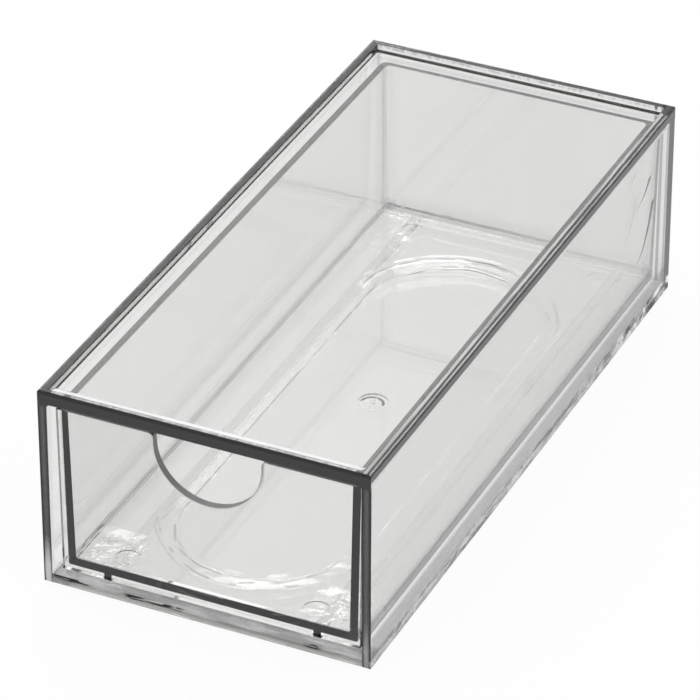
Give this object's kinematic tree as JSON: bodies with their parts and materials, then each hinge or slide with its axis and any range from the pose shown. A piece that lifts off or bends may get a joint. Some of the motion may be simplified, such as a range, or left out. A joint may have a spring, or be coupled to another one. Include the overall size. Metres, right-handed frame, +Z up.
{
  "type": "stackable drawer box",
  "caption": "Clear moulded box open at the front, holding a pull-out drawer with a round finger notch; a raised rim on top takes the foot of the next box.",
  "frame": {"origin": "middle of the underside, on the surface the box stands on", "axes": "+X to the right seen from the front, +Y from the open front to the back, +Z up"},
  "size_m": [0.1028, 0.225, 0.0664],
  "materials": {
    "case_plastic": "clear polystyrene, polished",
    "drawer_plastic": "clear polystyrene, polished"
  },
  "bodies": {
    "case": {"housing_cover": "case_plastic", "base_plate": "case_plastic"},
    "drawer": {"drawer": "drawer_plastic"}
  },
  "joints": [
    {"name": "drawer_slide", "type": "slide", "parent": "case", "child": "drawer", "axis": [0, -1, 0], "range_m": [0, 0.18]}
  ]
}
